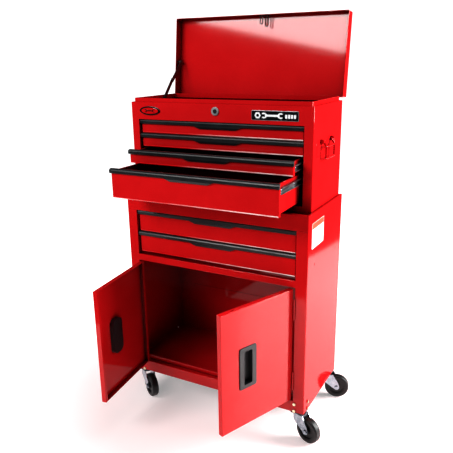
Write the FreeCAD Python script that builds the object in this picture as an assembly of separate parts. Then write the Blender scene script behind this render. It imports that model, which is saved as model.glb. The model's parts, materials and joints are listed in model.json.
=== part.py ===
import FreeCAD, Part
import math
import os

os.makedirs("parts", exist_ok=True)
V = FreeCAD.Vector

# ---------------------------------------------------------------------------
# Driving dimensions, in millimetres.
# X to the right as the front is seen, front on -Y, Z up, floor at Z = 0,
# origin at the centre of the cabinet's footprint.
# ---------------------------------------------------------------------------
SHEET = 1.2
SLIDE_GAP = 12.7            # room each side of a drawer box for a ball slide
RUNNING_FIT = 0.05          # radial clearance of every pin, plug and ball

# lower cabinet, carried on casters
WHEEL_R = 40.0
CAB_W = 616.0
CAB_D = 298.0
CAB_BOTTOM = 2 * WHEEL_R + 14.0
CAB_TOP = CAB_BOTTOM + 622.0
CAB_POST = 35.0
DECK_Z = CAB_TOP - 6.0
CAB_DRAWER_OPEN_TOP = CAB_TOP - 46.0
CAB_DRAWER_OPEN_BOTTOM = CAB_DRAWER_OPEN_TOP - 148.0
DOOR_OPEN_TOP = CAB_DRAWER_OPEN_BOTTOM - 22.0
TOE_TOP = CAB_BOTTOM + 38.0
FLOOR_Z = TOE_TOP - 2.0
DOOR_STOP_TOP = TOE_TOP + 14.0
BEND_R = 4.0

# upper chest, standing on the cabinet's deck a little in from its sides
CHEST_W = CAB_W - 16.0
CHEST_D = 250.0
CHEST_REAR_Y = CAB_D / 2 - 7.0
CHEST_FRONT_Y = CHEST_REAR_Y - CHEST_D
CHEST_TOP = DECK_Z + 295.0
RIM_INSET = 8.0
RIM_TOP = CHEST_TOP + 12.0
CHEST_OPEN_BOTTOM = DECK_Z + 20.0
CHEST_OPEN_TOP = CHEST_TOP - 52.0
TILL_FLOOR = CHEST_OPEN_TOP + 7.0

# drawers
OPEN_HALF = CAB_W / 2 - CAB_POST        # half width of both front openings
FRONT_RECESS = 9.4
FRONT_DEPTH = 10.0
FRONT_SIDE_GAP = 4.5
BOX_SHEET = 1.2
PULL_PROUD = 7.0
PULL_HEIGHT = 13.0
PULL_END_GAP = 2.0
CHEST_SLIDE_LEN = CHEST_D - 30.0
CAB_SLIDE_LEN = CAB_D - 48.0
SMALL_PITCH = 42.5
DEEP_PITCH = 89.5
CHEST_FIRST_Z = CHEST_OPEN_BOTTOM + 6.0
CAB_PITCH = 70.3
CAB_FIRST_Z = CAB_DRAWER_OPEN_BOTTOM + 7.5
DRAWER_GAP = 1.5
OUT_3 = 70.3                # how far drawers 3 and 4 stand open
OUT_4 = 165.7

# ball slides
CHANNEL_H = 27.0
CHANNEL_DEPTH = 9.6
RAIL_H = 17.0
RAIL_SHEET = 1.2
SLIDE_DROP = 22.0           # slide centre line below the top of the front
BALL_R = (CHANNEL_H - 2 * RAIL_SHEET - RAIL_H) / 4 - RUNNING_FIT
CAGE_LEN = 48.0
CAGE_SHEET = 0.8

# lid
LID_FLANGE = 35.0
LID_LIFT = 2.0              # closed flange edge above the chest's ledge
LID_OPEN = 96.5
LID_SHEET = 1.0
LID_REAR_GAP = 0.4
LID_PIN_R = 1.25
LID_KNUCKLE_R = 3.0
LID_HINGE_Z = CHEST_TOP + 5.0
LID_HINGE_Y = CHEST_REAR_Y + LID_KNUCKLE_R + LID_REAR_GAP
LID_KNUCKLES = 14
LID_HINGE_LEN = 560.0

# folding lid stay on the left; y and z of its three pivots with the lid open
STAY_LOW = (CHEST_REAR_Y - 91.0, CHEST_TOP - 10.0)
STAY_MID = (CHEST_REAR_Y - 30.0, CHEST_TOP + 57.6)
STAY_UP = (CHEST_REAR_Y + 30.0, CHEST_TOP + 116.0)
STAY_W = 13.0
STAY_T = 1.6
STAY_PIN_R = 2.5

# doors
DOOR_BOTTOM = TOE_TOP + 5.0
DOOR_TOP = DOOR_OPEN_TOP - 2.5
DOOR_T = 15.0
DOOR_SHEET = 1.2
DOOR_SIDE_GAP = 2.0
DOOR_MEET_GAP = 2.0
DOOR_R_OPEN = 68.0
DOOR_L_OPEN = 83.4
DOOR_LIP = 11.0
HINGE_FORWARD = 3.0
KNUCKLE_R = 2.5
HINGE_PIN_R = 1.25
LEAF_T = 0.8
HINGE_SPANS = ((DOOR_BOTTOM + 35.0, DOOR_BOTTOM + 95.0), (DOOR_TOP - 95.0, DOOR_TOP - 31.0))
PULL_CENTRE_IN = 177.0      # door pull centre from the hinge line
PULL_CENTRE_Z = (DOOR_BOTTOM + DOOR_TOP) / 2
DOOR_PULL_W = 62.0
DOOR_PULL_H = 126.0
CUP_W = 48.0
CUP_H = 112.0
CUP_WALL = 2.0
CUP_CORNER = 17.0

# casters
WHEEL_W = 23.0
TRAIL = 38.0
CASTER_INSET = 22.0
PLATE = 44.0
PLATE_T = 3.0
HEADINGS = {"fr": -20.0, "rr": 16.0, "fl": -32.0, "rl": 8.0}

# side handles
BAIL_R = 2.7
BAIL_Z = CHEST_TOP - 100.0
BAIL_Y = -3.0
BAIL_SPAN = 78.0
BAIL_OUT = 12.0
BAIL_SHOULDER = 14.0        # drop from the pins to where the rod turns down
BAIL_DROP = 48.0            # drop from the pins to the grip
BAIL_BEND = 3.5

# lock
LOCK_Z = CHEST_TOP - 20.6
LOCK_R = 12.5
PLUG_R = 6.5

CAB_FRONT_Y = -CAB_D / 2
CAB_REAR_Y = CAB_D / 2
CAB_HALF = CAB_W / 2
CHEST_HALF = CHEST_W / 2
TINY = 0.01


# ---------------------------------------------------------------------------
# Small shape helpers
# ---------------------------------------------------------------------------
def box(x0, x1, y0, y1, z0, z1):
    return Part.makeBox(x1 - x0, y1 - y0, z1 - z0, V(x0, y0, z0))


def cyl(radius, start, direction, length):
    return Part.makeCylinder(radius, length, V(*start), V(*direction))


def prism(points, vector):
    """Flat polygon through the points, pushed along the vector."""
    wire = Part.makePolygon([V(*p) for p in points + points[:1]])
    return Part.Face(wire).extrude(V(*vector))


def fuse(shapes):
    shapes = list(shapes)
    return shapes[0].fuse(shapes[1:]).removeSplitter() if len(shapes) > 1 else shapes[0]


def round_edges(shape, radius, keep):
    """Round every straight edge for which keep(mid_point, direction) is true."""
    picked = []
    for edge in shape.Edges:
        if not isinstance(edge.Curve, (Part.Line, Part.LineSegment)):
            continue
        a = edge.Vertexes[0].Point
        b = edge.Vertexes[-1].Point
        if keep((a + b) * 0.5, (b - a).normalize()):
            picked.append(edge)
    return shape.makeFillet(radius, picked) if picked else shape


def along(direction, axis):
    return abs(getattr(direction, axis)) > 0.999


def pan(outer, sheet, open_side):
    """Hollow a box-like solid to a sheet, leaving one side open."""
    b = outer.BoundBox
    wall = {"x0": sheet, "x1": sheet, "y0": sheet, "y1": sheet, "z0": sheet, "z1": sheet}
    wall[open_side] = -1.0
    core = box(b.XMin + wall["x0"], b.XMax - wall["x1"], b.YMin + wall["y0"],
               b.YMax - wall["y1"], b.ZMin + wall["z0"], b.ZMax - wall["z1"])
    return outer.cut(core)


def mirror_x(shape):
    return shape.mirror(V(0, 0, 0), V(1, 0, 0))


def bent_rod(points, bend, radius):
    """Round rod along straight runs, bent to an arc at every inner corner."""
    pts = [V(*p) for p in points]
    edges = []
    start = pts[0]
    for a, b, c in zip(pts, pts[1:], pts[2:]):
        back = (a - b).normalize()
        on = (c - b).normalize()
        half = back.getAngle(on) / 2
        inward = (back + on).normalize()
        p1 = b + back * (bend / math.tan(half))
        p2 = b + on * (bend / math.tan(half))
        middle = b + inward * (bend / math.sin(half) - bend)
        edges.append(Part.LineSegment(start, p1).toShape())
        edges.append(Part.Arc(p1, middle, p2).toShape())
        start = p2
    edges.append(Part.LineSegment(start, pts[-1]).toShape())
    first = (pts[1] - pts[0]).normalize()
    ring = Part.Wire([Part.Circle(pts[0], first, radius).toShape()])
    return Part.Wire(edges).makePipeShell([ring], True, False)


def turned(shape, centre, axis, degrees):
    out = shape.copy()
    out.rotate(V(*centre), V(*axis), degrees)
    return out


def save(node, solids):
    if not isinstance(solids, (list, tuple)):
        solids = [solids]
    flat = []
    for item in solids:
        flat.extend(item.Solids)
    shape = flat[0] if len(flat) == 1 else Part.makeCompound(flat)
    shape.exportStep("parts/" + node + ".step")
    print(node, len(flat), "solids")


def hex_head(radius, start, direction, height):
    """Six-sided bolt head or nut standing on a face."""
    axis = V(*direction)
    side = V(0, 0, 1) if abs(axis.z) < 0.9 else V(1, 0, 0)
    other = axis.cross(side)
    pts = []
    for i in range(6):
        a = math.radians(60 * i + 30)
        p = V(*start) + side * (radius * math.cos(a)) + other * (radius * math.sin(a))
        pts.append((p.x, p.y, p.z))
    return prism(pts, tuple(axis * height))


# ---------------------------------------------------------------------------
# Lower cabinet
# ---------------------------------------------------------------------------
RIM_RETURN = 6.0
POST_RETURN = 24.0
REAR_FLANGE = 15.0
FOOT_FLANGE = 14.0
RAIL_RETURN = 16.0
BOLT_R = 3.0
BOLT_HEAD_R = 5.0
BOLT_HEAD_T = 3.0
BOLT_ZS = (CAB_BOTTOM + 4.8, CAB_BOTTOM + 27.5)
TOE_BOLT_X = OPEN_HALF + 4.5
SIDE_BOLT_Y = CAB_FRONT_Y + 32.0


def cabinet_side():
    """Right side panel: side, folded front post, rim, rear and foot flanges."""
    skin = box(OPEN_HALF, CAB_HALF, CAB_FRONT_Y, CAB_REAR_Y, CAB_BOTTOM, CAB_TOP)
    skin = round_edges(skin, BEND_R, lambda m, d: along(d, "z")
                       and m.x > CAB_HALF - 1 and m.y < 0)
    core = box(OPEN_HALF + SHEET, CAB_HALF - SHEET, CAB_FRONT_Y + SHEET,
               CAB_REAR_Y + 1, CAB_BOTTOM - 1, CAB_TOP + 1)
    core = round_edges(core, BEND_R - SHEET, lambda m, d: along(d, "z")
                       and m.x > CAB_HALF - 2 and m.y < 0)
    side = skin.cut(core)
    # the inner return of the post is only a short flange
    side = side.cut(box(OPEN_HALF - 1, OPEN_HALF + SHEET + TINY,
                        CAB_FRONT_Y + POST_RETURN, CAB_REAR_Y + 1,
                        CAB_BOTTOM - 1, CAB_TOP + 1))
    # the post stops under the top rail, which closes the corner
    side = side.cut(box(OPEN_HALF - 1, CAB_HALF - BEND_R, CAB_FRONT_Y - 1,
                        CAB_FRONT_Y + POST_RETURN + 1, CAB_DRAWER_OPEN_TOP, CAB_TOP + 1))
    rim = box(CAB_HALF - RIM_RETURN, CAB_HALF - SHEET + TINY, CAB_FRONT_Y + BEND_R,
              CAB_REAR_Y - SHEET, CAB_TOP - SHEET, CAB_TOP)
    rear = box(CAB_HALF - REAR_FLANGE, CAB_HALF - SHEET + TINY, CAB_REAR_Y - 2 * SHEET,
               CAB_REAR_Y - SHEET, CAB_BOTTOM, CAB_TOP - SHEET + TINY)
    foot = box(OPEN_HALF + SHEET - TINY, CAB_HALF - SHEET + TINY,
               CAB_FRONT_Y + SHEET - TINY, CAB_REAR_Y - SHEET, CAB_BOTTOM, CAB_BOTTOM + SHEET)
    side = fuse([side, rim, rear, foot])
    # caster kingpin room and bolt holes
    for sy in (-1, 1):
        y = sy * (CAB_D / 2 - CASTER_INSET)
        side = side.cut(cyl(8.0, (CAB_HALF - CASTER_INSET, y, CAB_BOTTOM - 1), (0, 0, 1), 5))
    for z in BOLT_ZS:
        side = side.cut(cyl(BOLT_R + 0.2, (TOE_BOLT_X, CAB_FRONT_Y - 2, z), (0, 1, 0), 8))
        side = side.cut(cyl(BOLT_R + 0.2, (CAB_HALF - 4, SIDE_BOLT_Y, z), (1, 0, 0), 8))
    # three short keyhole slots along the panel
    for y, z in ((CAB_FRONT_Y + 58, CAB_TOP - 156), (CAB_REAR_Y - 50, CAB_TOP - 163),
                 (CAB_REAR_Y - 37, CAB_BOTTOM + 36)):
        side = side.cut(box(CAB_HALF - 3, CAB_HALF + 1, y - 1.2, y + 1.2, z - 5, z + 5))
    return side


def cabinet_rails():
    """Top, middle and toe rails between the posts."""
    out = []
    top = box(-CAB_HALF + BEND_R, CAB_HALF - BEND_R, CAB_FRONT_Y,
              CAB_FRONT_Y + SHEET, CAB_DRAWER_OPEN_TOP, CAB_TOP)
    top_back = box(-CAB_HALF + RIM_RETURN + 2, CAB_HALF - RIM_RETURN - 2, CAB_FRONT_Y,
                   CAB_FRONT_Y + 12, CAB_TOP - SHEET, CAB_TOP)
    top_under = box(-OPEN_HALF, OPEN_HALF, CAB_FRONT_Y, CAB_FRONT_Y + RAIL_RETURN,
                    CAB_DRAWER_OPEN_TOP, CAB_DRAWER_OPEN_TOP + SHEET)
    out.append(round_edges(fuse([top, top_back, top_under]), 0.9, lambda m, d:
               along(d, "x") and m.y < CAB_FRONT_Y + 0.1))
    mid = box(-OPEN_HALF, OPEN_HALF, CAB_FRONT_Y, CAB_FRONT_Y + RAIL_RETURN,
              DOOR_OPEN_TOP, CAB_DRAWER_OPEN_BOTTOM)
    mid = round_edges(mid, 2.0, lambda m, d: along(d, "x") and m.y < CAB_FRONT_Y + 0.1)
    out.append(pan(mid, SHEET, "y1"))
    toe = box(-OPEN_HALF, OPEN_HALF, CAB_FRONT_Y, CAB_FRONT_Y + RAIL_RETURN,
              CAB_BOTTOM, TOE_TOP)
    toe = round_edges(toe, 2.0, lambda m, d: along(d, "x") and m.y < CAB_FRONT_Y + 0.1)
    toe = pan(toe, SHEET, "y1")
    ears = []
    for s in (-1, 1):
        x0 = s * (OPEN_HALF - SHEET)
        x1 = s * (OPEN_HALF + 12)
        ears.append(box(min(x0, x1), max(x0, x1), CAB_FRONT_Y + SHEET,
                        CAB_FRONT_Y + 2 * SHEET, CAB_BOTTOM + SHEET, TOE_TOP - SHEET))
    # the ears pass behind the posts through a notch in their inner returns
    toe = fuse([toe] + ears)
    for s in (-1, 1):
        for z in BOLT_ZS:
            toe = toe.cut(cyl(BOLT_R + 0.2, (s * TOE_BOLT_X, CAB_FRONT_Y - 2, z),
                              (0, 1, 0), 8))
    out.append(toe)
    return out


def ear_notch(side):
    """Slot in the post's return where the toe rail's ear passes."""
    return side.cut(box(OPEN_HALF - 1, OPEN_HALF + SHEET + 1, CAB_FRONT_Y + SHEET,
                        CAB_FRONT_Y + 2 * SHEET, CAB_BOTTOM + SHEET, TOE_TOP - SHEET))


def cabinet_bolts():
    """Zinc hex bolts: two per post into the toe rail, two per side panel."""
    out = []
    for s in (-1, 1):
        for z in BOLT_ZS:
            y = CAB_FRONT_Y
            head = hex_head(BOLT_HEAD_R, (s * TOE_BOLT_X, y, z), (0, -1, 0), BOLT_HEAD_T)
            shank = cyl(BOLT_R, (s * TOE_BOLT_X, y - 1, z), (0, 1, 0), 8)
            out.append(fuse([head, shank]))
            head = hex_head(BOLT_HEAD_R, (s * CAB_HALF, SIDE_BOLT_Y, z), (s, 0, 0),
                            BOLT_HEAD_T)
            shank = cyl(BOLT_R, (s * (CAB_HALF + 1), SIDE_BOLT_Y, z), (-s, 0, 0), 8)
            out.append(fuse([head, shank]))
    return out


def cabinet_back():
    """Back sheet, lying on the rear flanges of the sides, flush with their edges."""
    y1 = CAB_REAR_Y
    half = CAB_HALF - SHEET
    sheet = box(-half, half, y1 - SHEET, y1, CAB_BOTTOM + SHEET, DECK_Z - 8)
    foot = box(-half + 40, half - 40, y1 - 14, y1, CAB_BOTTOM + SHEET,
               CAB_BOTTOM + 2 * SHEET)
    bead = box(-half + 60, half - 60, y1 - SHEET - 1.5, y1 - SHEET, CAB_BOTTOM + 206,
               CAB_BOTTOM + 218)
    return fuse([sheet, foot, bead])


def cabinet_floor():
    """Floor tray with a raised front lip, which is also the door stop."""
    half = CAB_HALF - SHEET
    y0 = CAB_FRONT_Y + POST_RETURN
    y1 = CAB_REAR_Y - 2 * SHEET
    plate = box(-half, half, y0, y1, FLOOR_Z - SHEET, FLOOR_Z)
    front = box(-OPEN_HALF, OPEN_HALF, CAB_FRONT_Y + 17, y0 + TINY,
                FLOOR_Z - SHEET, FLOOR_Z)
    lip = box(-OPEN_HALF, OPEN_HALF, CAB_FRONT_Y + 17, CAB_FRONT_Y + 17 + SHEET,
              FLOOR_Z - SHEET, DOOR_STOP_TOP)
    hem = box(-OPEN_HALF, OPEN_HALF, CAB_FRONT_Y + 17, CAB_FRONT_Y + 23,
              DOOR_STOP_TOP - SHEET, DOOR_STOP_TOP)
    flanges = []
    for s in (-1, 1):
        xa = s * half
        xb = s * (half - SHEET)
        flanges.append(box(min(xa, xb), max(xa, xb), y0 + 16, y1, FLOOR_Z - 12, FLOOR_Z))
    return fuse([plate, front, lip, hem] + flanges)


def cabinet_deck():
    """Sunken deck the chest stands on."""
    half = CAB_HALF - SHEET
    y0 = CAB_FRONT_Y + 12
    y1 = CAB_REAR_Y - 2 * SHEET
    plate = box(-half, half, y0, y1, DECK_Z - SHEET, DECK_Z)
    lip = box(-half + 8, half - 8, y0, y0 + SHEET, DECK_Z - SHEET, CAB_TOP - SHEET)
    down = []
    for s in (-1, 1):
        xa = s * half
        xb = s * (half - SHEET)
        down.append(box(min(xa, xb), max(xa, xb), y0 + 14, y1, DECK_Z - 20, DECK_Z))
    return fuse([plate, lip] + down)


# ---------------------------------------------------------------------------
# Upper chest
# ---------------------------------------------------------------------------
def rounded_block(half, y0, y1, z0, z1, radius):
    block = box(-half, half, y0, y1, z0, z1)
    return round_edges(block, radius, lambda m, d: along(d, "z"))


def chest_shell():
    """Wrapped sheet: front frame, sides, back, ledge and inset rim."""
    f = CHEST_FRONT_Y
    r = CHEST_REAR_Y
    body = rounded_block(CHEST_HALF, f, r, DECK_Z, CHEST_TOP, BEND_R)
    rim = rounded_block(CHEST_HALF - RIM_INSET, f + RIM_INSET, r - RIM_INSET,
                        CHEST_TOP - SHEET, RIM_TOP, BEND_R)
    outer = body.fuse(rim)
    room = rounded_block(CHEST_HALF - SHEET, f + SHEET, r - SHEET, DECK_Z - 1,
                         CHEST_TOP - SHEET, BEND_R - SHEET)
    throat = rounded_block(CHEST_HALF - RIM_INSET - SHEET, f + RIM_INSET + SHEET,
                           r - RIM_INSET - SHEET, DECK_Z, RIM_TOP + 1, BEND_R - SHEET)
    shell = outer.cut(room.fuse(throat))
    shell = shell.cut(box(-OPEN_HALF, OPEN_HALF, f - 1, f + SHEET + 1,
                          CHEST_OPEN_BOTTOM, CHEST_OPEN_TOP))
    returns = []
    for s in (-1, 1):
        xa = s * OPEN_HALF
        xb = s * (OPEN_HALF + SHEET)
        returns.append(box(min(xa, xb), max(xa, xb), f + TINY, f + POST_RETURN,
                           CHEST_OPEN_BOTTOM - SHEET, CHEST_OPEN_TOP + SHEET))
    shelf_lip = box(-OPEN_HALF, OPEN_HALF, f + TINY, f + 8.0,
                    CHEST_OPEN_BOTTOM - SHEET, CHEST_OPEN_BOTTOM)
    brow = box(-OPEN_HALF, OPEN_HALF, f + TINY, f + 8.0,
               CHEST_OPEN_TOP, CHEST_OPEN_TOP + SHEET)
    shell = fuse([shell, shelf_lip, brow] + returns)
    shell = shell.cut(cyl(LOCK_BODY_R, (0, f - 1, LOCK_Z), (0, 1, 0), 5))
    shell = shell.cut(cyl(STAY_PIN_R + RUNNING_FIT, (-CHEST_HALF - 1, STAY_LOW[0],
                                                     STAY_LOW[1]), (1, 0, 0), 5))
    return shell


def chest_floor():
    half = CHEST_HALF - SHEET - 0.3
    y0 = CHEST_FRONT_Y + SHEET + 0.3
    y1 = CHEST_REAR_Y - SHEET - 0.3
    plate = rounded_block(half, y0, y1, DECK_Z, DECK_Z + SHEET, BEND_R - SHEET)
    back = box(-half + 6, half - 6, y1 - SHEET, y1, DECK_Z, DECK_Z + 14)
    front = box(-half + 6, half - 6, y0, y0 + SHEET, DECK_Z, DECK_Z + 14)
    return fuse([plate, back, front])


def chest_till():
    """Open top tray under the lid."""
    half = CHEST_HALF - SHEET - 0.3
    y0 = CHEST_FRONT_Y + SHEET + 0.3
    y1 = CHEST_REAR_Y - SHEET - 0.3
    plate = rounded_block(half, y0, y1, TILL_FLOOR - SHEET, TILL_FLOOR, BEND_R - SHEET)
    ups = []
    for s in (-1, 1):
        xa = s * half
        xb = s * (half - SHEET)
        ups.append(box(min(xa, xb), max(xa, xb), y0 + 6, y1 - 6, TILL_FLOOR - SHEET,
                       TILL_FLOOR + 12))
    return fuse([plate] + ups)


def slide_uprights():
    """Upright angles that carry the rear ends of the slides."""
    out = []
    plan = ((CHEST_HALF - SHEET, CHEST_FRONT_Y + CHEST_SLIDE_LEN - 40, CHEST_OPEN_BOTTOM - 6,
             TILL_FLOOR - 3), (CAB_HALF - SHEET, CAB_FRONT_Y + CAB_SLIDE_LEN - 40,
                               CAB_DRAWER_OPEN_BOTTOM - 6, DECK_Z - 24))
    for wall, y, z0, z1 in plan:
        web = box(OPEN_HALF, OPEN_HALF + SHEET, y, y + 26, z0, z1)
        foot = box(OPEN_HALF, wall, y + 26 - SHEET, y + 26, z0, z1)
        lap = box(wall - SHEET, wall, y + 10, y + 26, z0, z1)
        one = fuse([web, foot, lap])
        out += [one, mirror_x(one)]
    return out


# ---------------------------------------------------------------------------
# Drawers and ball slides
# ---------------------------------------------------------------------------
def drawer_table():
    """One row per drawer: name, front bottom, front height, cabinet face,
    slide length, distance drawn out."""
    rows = []
    z = CHEST_FIRST_Z
    heights = [("drawer_4", DEEP_PITCH, OUT_4), ("drawer_3", SMALL_PITCH, OUT_3),
               ("drawer_2", SMALL_PITCH, 0.0), ("drawer_1", SMALL_PITCH, 0.0)]
    for name, pitch, out in heights:
        rows.append((name, z, pitch - DRAWER_GAP, CHEST_FRONT_Y, CHEST_SLIDE_LEN, out))
        z += pitch
    z = CAB_FIRST_Z
    for name in ("drawer_6", "drawer_5"):
        rows.append((name, z, CAB_PITCH - DRAWER_GAP, CAB_FRONT_Y, CAB_SLIDE_LEN, 0.0))
        z += CAB_PITCH
    return rows


FRONT_HALF = OPEN_HALF - FRONT_SIDE_GAP
PULL_HALF = OPEN_HALF - PULL_END_GAP
BOX_HALF = OPEN_HALF - SLIDE_GAP
SLIDE_SETBACK = 2.0
BOX_TOP_DROP = 4.0
BOX_LIFT = 3.0
HEM = 4.0


def drawer_box(z, height, face):
    """Folded front fused to the tray behind it, drawn in the closed place."""
    y0 = face + FRONT_RECESS
    y1 = y0 + FRONT_DEPTH
    front = box(-FRONT_HALF, FRONT_HALF, y0, y1, z, z + height)
    front = round_edges(front, 3.0, lambda m, d: along(d, "x") and m.y < y0 + 0.1
                        and m.z < z + 1)
    front = round_edges(front, 1.0, lambda m, d: along(d, "z") and m.y < y0 + 0.1)
    front = pan(front, BOX_SHEET, "y1")
    backing = box(-FRONT_HALF, FRONT_HALF, y1 - BOX_SHEET, y1, z + BOX_SHEET,
                  z + height - BOX_SHEET + TINY)
    return fuse([front, backing]), y1


def drawer_tray(z, height, y1, depth):
    tray = box(-BOX_HALF, BOX_HALF, y1 - BOX_SHEET, y1 + depth, z + BOX_LIFT,
               z + height - BOX_TOP_DROP)
    tray = round_edges(tray, 2.0, lambda m, d: along(d, "y") and m.z < z + BOX_LIFT + 1)
    tray = pan(tray, BOX_SHEET, "z1")
    top = z + height - BOX_TOP_DROP
    hems = []
    for s in (-1, 1):
        xa = s * BOX_HALF
        xb = s * (BOX_HALF - HEM)
        hems.append(box(min(xa, xb), max(xa, xb), y1, y1 + depth, top - BOX_SHEET, top))
    return [tray] + hems


def grip_strip(z, height, face):
    """Pull along the top of the front, with a deeper finger lip in the middle."""
    top = z + height
    y0 = face + FRONT_RECESS
    nose = y0 - PULL_PROUD
    low = top - PULL_HEIGHT
    profile = [(y0 + 6.0, top + 0.8), (y0 - 2.0, top + 0.8), (nose + 1.6, top - 1.6),
               (nose, top - 4.4), (nose + 0.6, low + 1.2), (nose + 2.4, low),
               (y0, low + 1.5), (y0, top), (y0 + 6.0, top)]
    strip = prism([(-PULL_HALF, py, pz) for py, pz in profile], (2 * PULL_HALF, 0, 0))
    lip = prism([(-87.0, nose + 1.0, low + 4), (-60.0, nose + 1.0, low - 8),
                 (60.0, nose + 1.0, low - 8), (87.0, nose + 1.0, low + 4)],
                (0, y0 - nose - 1.0, 0))
    lip = lip.cut(prism([(-90.0, nose, low - 9), (-90.0, nose + 4.0, low - 9),
                         (-90.0, nose, low + 1)], (180.0, 0, 0)))
    return fuse([strip, lip])


def channel(z_mid, y0, length):
    """Fixed C channel of a slide on the right-hand side."""
    x1 = OPEN_HALF
    x0 = OPEN_HALF - CHANNEL_DEPTH
    out = box(x0, x1, y0, y0 + length, z_mid - CHANNEL_H / 2, z_mid + CHANNEL_H / 2)
    out = round_edges(out, 1.0, lambda m, d: along(d, "y") and m.x > x1 - 0.1)
    core = box(x0 - 1, x1 - RAIL_SHEET, y0 - 1, y0 + length + 1,
               z_mid - CHANNEL_H / 2 + RAIL_SHEET, z_mid + CHANNEL_H / 2 - RAIL_SHEET)
    return out.cut(core)


def inner_rail(z_mid, y0, length):
    """Moving C rail fixed to the right-hand side of the drawer tray."""
    x0 = BOX_HALF
    x1 = OPEN_HALF - 4.2
    out = box(x0, x1, y0, y0 + length, z_mid - RAIL_H / 2, z_mid + RAIL_H / 2)
    core = box(x0 + RAIL_SHEET, x1 + 1, y0 - 1, y0 + length + 1,
               z_mid - RAIL_H / 2 + RAIL_SHEET, z_mid + RAIL_H / 2 - RAIL_SHEET)
    return out.cut(core)


def cage(z_mid, y_mid):
    """Ball retainer on the right: bent strip with its balls."""
    y0 = y_mid - CAGE_LEN / 2
    y1 = y_mid + CAGE_LEN / 2
    z_ball = RAIL_H / 2 + BALL_R + RUNNING_FIT
    x_back = OPEN_HALF - RAIL_SHEET - 0.8
    x_front = OPEN_HALF - CHANNEL_DEPTH + 0.6
    x_ball = (x_front + OPEN_HALF - 4.2) / 2
    half = z_ball + CAGE_SHEET / 2
    strip = box(x_front, x_back, y0, y1, z_mid - half, z_mid + half)
    strip = strip.cut(box(x_front - 1, x_back - CAGE_SHEET, y0 - 1, y1 + 1,
                          z_mid - half + CAGE_SHEET, z_mid + half - CAGE_SHEET))
    balls = []
    for i in (-1, 0, 1):
        for s in (-1, 1):
            centre = V(x_ball, y_mid + i * 16.0, z_mid + s * z_ball)
            strip = strip.cut(Part.makeSphere(BALL_R + 2 * RUNNING_FIT, centre))
            balls.append(Part.makeSphere(BALL_R, centre))
    return [strip] + balls


def build_drawers():
    channels = []
    for name, z, height, face, length, out in drawer_table():
        front, y1 = drawer_box(z, height, face)
        depth = length - 2.0
        body = fuse([front] + drawer_tray(z, height, y1, depth))
        z_mid = z + height - SLIDE_DROP
        rail_y = y1 + SLIDE_SETBACK
        moved = V(0, -out, 0)
        body.translate(moved)
        save(name + "_box", body)
        pull = grip_strip(z, height, face)
        pull.translate(moved)
        save(name + "_pull", pull)
        rail = inner_rail(z_mid, rail_y, length - SLIDE_SETBACK - 2.0)
        rail.translate(moved)
        save(name + "_rails", [rail, mirror_x(rail)])
        fixed = channel(z_mid, rail_y, length)
        channels += [fixed, mirror_x(fixed)]
        group = cage(z_mid, rail_y + length / 2)
        both = []
        for item in group:
            item.translate(V(0, -out / 2, 0))
            both += [item, mirror_x(item)]
        save(name + "_cages", both)
    return channels


# ---------------------------------------------------------------------------
# Lid, its hinge, stay and hooks; drawn closed, then opened
# ---------------------------------------------------------------------------
LID_EDGE_Z = CHEST_TOP + LID_LIFT
LID_TOP_Z = LID_EDGE_Z + LID_FLANGE


def opened(shape):
    """Turn a shape drawn with the lid shut to the open lid."""
    return turned(shape, (0, LID_HINGE_Y, LID_HINGE_Z), (1, 0, 0), -LID_OPEN)


def shut_point(y, z):
    """Where a point of the open lid lies when the lid is shut."""
    a = math.radians(LID_OPEN)
    dy = y - LID_HINGE_Y
    dz = z - LID_HINGE_Z
    return (LID_HINGE_Y + dy * math.cos(a) - dz * math.sin(a),
            LID_HINGE_Z + dy * math.sin(a) + dz * math.cos(a))


def lid():
    y0 = CHEST_FRONT_Y
    y1 = CHEST_REAR_Y - LID_REAR_GAP
    outer = rounded_block(CHEST_HALF, y0, y1, LID_EDGE_Z, LID_TOP_Z, BEND_R)
    outer = outer.makeFillet(2.0, [e for e in outer.Edges if e.BoundBox.ZMin > LID_TOP_Z - 0.1])
    core = rounded_block(CHEST_HALF - LID_SHEET, y0 + LID_SHEET, y1 - LID_SHEET,
                         LID_EDGE_Z - 1, LID_TOP_Z - LID_SHEET, BEND_R - LID_SHEET)
    shape = outer.cut(core)
    uy, uz = shut_point(*STAY_UP)
    return shape.cut(cyl(STAY_PIN_R + RUNNING_FIT, (-CHEST_HALF - 1, uy, uz), (1, 0, 0), 5))


def lid_hinge():
    """Continuous hinge: fixed leaf with its pin, and the leaf on the lid."""
    step = LID_HINGE_LEN / LID_KNUCKLES
    x0 = -LID_HINGE_LEN / 2
    r = CHEST_REAR_Y
    fixed = [box(x0, -x0, r, r + LEAF_T, LID_HINGE_Z - 24, LID_HINGE_Z - 4)]
    lid_face = r - LID_REAR_GAP
    moving = [box(x0, -x0, lid_face, lid_face + LEAF_T, LID_HINGE_Z + 4,
                  LID_HINGE_Z + 24)]
    for i in range(LID_KNUCKLES):
        a = x0 + i * step + 0.3
        barrel = cyl(LID_KNUCKLE_R, (a, LID_HINGE_Y, LID_HINGE_Z), (1, 0, 0), step - 0.6)
        if i % 2 == 0:
            fixed.append(box(a, a + step - 0.6, r, r + LEAF_T, LID_HINGE_Z - 5, LID_HINGE_Z))
            fixed.append(barrel)
        else:
            moving.append(box(a, a + step - 0.6, lid_face, LID_HINGE_Y - LID_PIN_R - 1.0,
                              LID_HINGE_Z, LID_HINGE_Z + 5))
            moving.append(barrel)
    bore = cyl(LID_PIN_R + RUNNING_FIT, (x0 - 1, LID_HINGE_Y, LID_HINGE_Z), (1, 0, 0),
               LID_HINGE_LEN + 2)
    pin = cyl(LID_PIN_R, (x0 - 0.5, LID_HINGE_Y, LID_HINGE_Z), (1, 0, 0),
              LID_HINGE_LEN + 1)
    return fuse(fixed).cut(bore), fuse(moving).cut(bore), pin


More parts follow.
